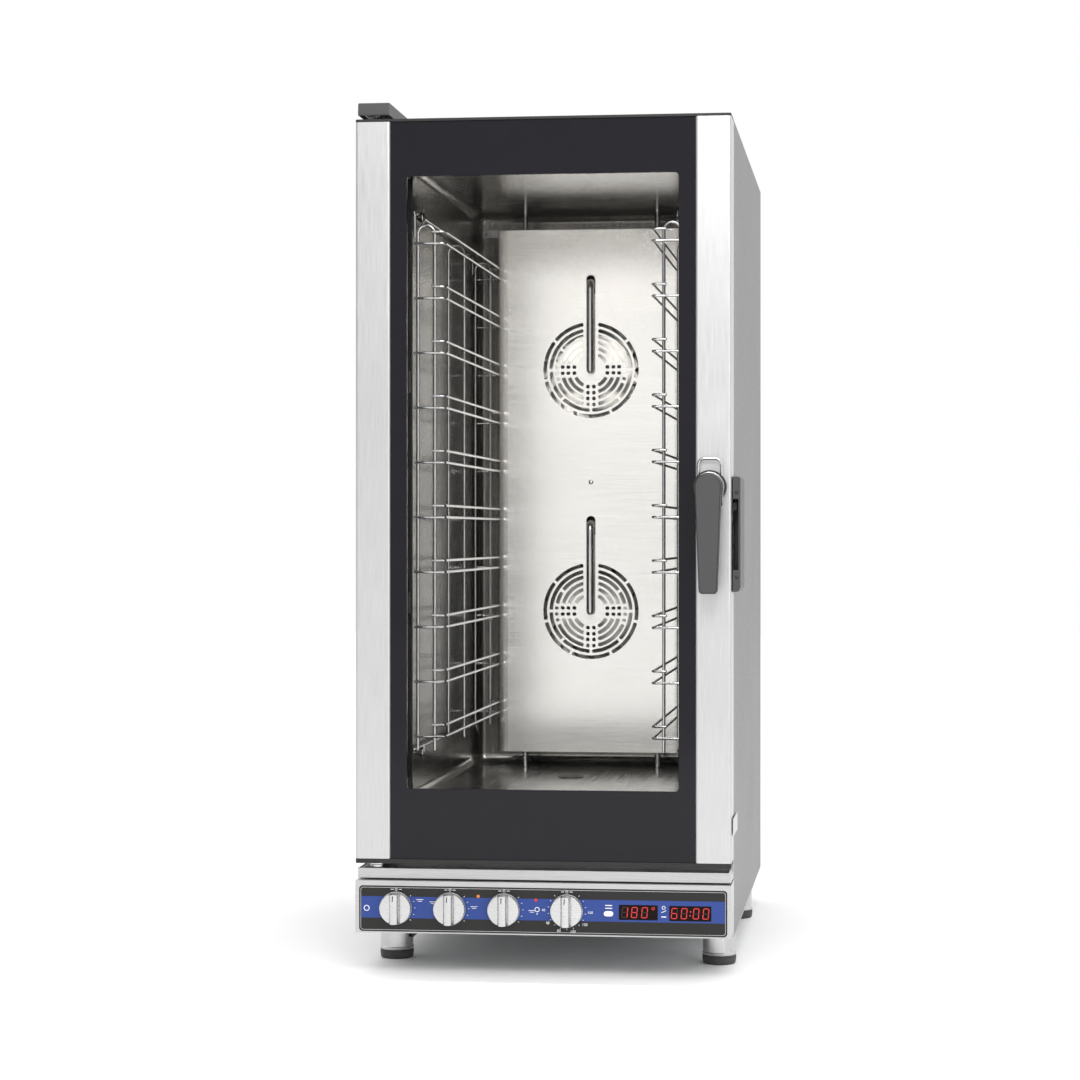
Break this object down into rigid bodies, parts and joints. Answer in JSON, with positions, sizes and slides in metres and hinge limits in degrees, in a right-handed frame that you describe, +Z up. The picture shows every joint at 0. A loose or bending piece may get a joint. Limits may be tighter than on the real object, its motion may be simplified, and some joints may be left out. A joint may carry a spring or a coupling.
{
  "type": "combi steamer oven",
  "caption": "Tall free-standing combi steamer oven with a glazed side-hinged door, lever latch, wire tray racks, fan baffle, knob panel and short round feet.",
  "frame": {"origin": "on the floor under the middle of the whole oven, from the lever at the front to the drain stub at the back", "axes": "+Z up, +X to the right seen from the front, the door faces -Y"},
  "size_m": [0.5525, 0.93, 1.254],
  "materials": {
    "brushed_stainless": "satin",
    "side_stainless": "satin",
    "door_stainless": "satin",
    "cavity_stainless": "polished",
    "baffle_stainless": "satin",
    "wire_stainless": "polished",
    "zinc_steel": "matte",
    "heater_sheath": "matte",
    "motor_paint": "satin",
    "knob_silver": "satin",
    "wool": "matte",
    "panel_foil": "satin",
    "display_glass": "gloss",
    "lamp_plastic": "gloss",
    "button_white": "satin",
    "board_green": "satin",
    "black_plastic": "satin",
    "grey_plastic": "satin",
    "bush_plastic": "satin",
    "valve_plastic": "satin",
    "silicone": "matte",
    "pad_rubber": "matte",
    "tinted_glass": "gloss",
    "clear_glass": "gloss"
  },
  "bodies": {
    "cabinet": {"left_side_panel": "side_stainless", "right_side_panel": "side_stainless", "top_panel": "side_stainless", "back_panel": "side_stainless", "base_panel": "zinc_steel", "front_frame": "brushed_stainless", "cavity_shell": "cavity_stainless", "insulation": "wool", "motor_plate": "zinc_steel", "drip_gutter": "brushed_stainless", "gutter_drain": "grey_plastic", "control_box": "brushed_stainless", "control_membrane": "panel_foil", "display_windows": "display_glass", "indicator_lamps": "lamp_plastic", "rotary_switches": "black_plastic", "control_board": "board_green", "fan_baffle": "baffle_stainless", "baffle_posts": "wire_stainless", "steam_tubes": "wire_stainless", "water_manifold": "zinc_steel", "fan_motors": "motor_paint", "heating_elements": "heater_sheath", "rack_studs": "wire_stainless", "drain_strainer": "cavity_stainless", "drain_pipe": "zinc_steel", "vent_pipe": "brushed_stainless", "water_valve": "valve_plastic", "cable_gland": "black_plastic", "foot_tubes": "brushed_stainless", "foot_pads": "pad_rubber", "door_gasket": "silicone", "hinge_brackets": "zinc_steel", "hinge_cover": "grey_plastic", "hinge_pins": "brushed_stainless", "latch_keeper": "grey_plastic", "screws": "wire_stainless", "door_tab": "door_stainless"},
    "door": {"door_stile_left": "door_stainless", "door_stile_right": "door_stainless", "door_caps": "black_plastic", "outer_glass": "tinted_glass", "inner_glass": "clear_glass", "door_inner_frame": "brushed_stainless", "glass_clips": "black_plastic", "door_bushes": "bush_plastic"},
    "lever": {"handle_grip": "grey_plastic", "handle_backplate": "door_stainless", "handle_collar": "grey_plastic", "handle_bail": "wire_stainless", "latch_spindle": "zinc_steel"},
    "upper_fan": {"fan_wheel_upper": "cavity_stainless"},
    "lower_fan": {"fan_wheel_lower": "cavity_stainless"},
    "knob_1": {"knob_1": "knob_silver"},
    "knob_2": {"knob_2": "knob_silver"},
    "knob_3": {"knob_3": "knob_silver"},
    "knob_4": {"knob_4": "knob_silver"},
    "button": {"push_button": "button_white"},
    "left_rack": {"left_rack": "wire_stainless"},
    "right_rack": {"right_rack": "wire_stainless"}
  },
  "joints": [
    {"name": "door_hinge", "type": "hinge", "parent": "cabinet", "child": "door", "pos_m": [-0.2427, -0.38, 0.696], "axis": [0, 0, -1], "range_deg": [0, 110]},
    {"name": "lever_turn", "type": "hinge", "parent": "door", "child": "lever", "pos_m": [0.2405, -0.41, 0.701], "axis": [0, 1, 0], "range_deg": [0, 90]},
    {"name": "upper_fan_spin", "type": "hinge", "parent": "cabinet", "child": "upper_fan", "pos_m": [0, 0.26, 0.907], "axis": [0, 1, 0], "continuous": true},
    {"name": "lower_fan_spin", "type": "hinge", "parent": "cabinet", "child": "lower_fan", "pos_m": [0, 0.26, 0.5065], "axis": [0, 1, 0], "continuous": true},
    {"name": "knob_1_turn", "type": "hinge", "parent": "cabinet", "child": "knob_1", "pos_m": [-0.2104, -0.41, 0.0989], "axis": [0, 1, 0], "range_deg": [0, 150]},
    {"name": "knob_2_turn", "type": "hinge", "parent": "cabinet", "child": "knob_2", "pos_m": [-0.1323, -0.41, 0.0989], "axis": [0, 1, 0], "range_deg": [0, 150]},
    {"name": "knob_3_turn", "type": "hinge", "parent": "cabinet", "child": "knob_3", "pos_m": [-0.0541, -0.41, 0.0989], "axis": [0, 1, 0], "range_deg": [0, 300]},
    {"name": "knob_4_turn", "type": "hinge", "parent": "cabinet", "child": "knob_4", "pos_m": [0.0362, -0.41, 0.0989], "axis": [0, 1, 0], "range_deg": [0, 300]},
    {"name": "button_press", "type": "slide", "parent": "cabinet", "child": "button", "axis": [0, 1, 0], "range_m": [0, 0.0012], "stiffness_N_per_m": 600},
    {"name": "left_rack_lift", "type": "slide", "parent": "cabinet", "child": "left_rack", "axis": [0, 0, 1], "range_m": [0, 0.012]},
    {"name": "right_rack_lift", "type": "slide", "parent": "cabinet", "child": "right_rack", "axis": [0, 0, 1], "range_m": [0, 0.012]}
  ]
}
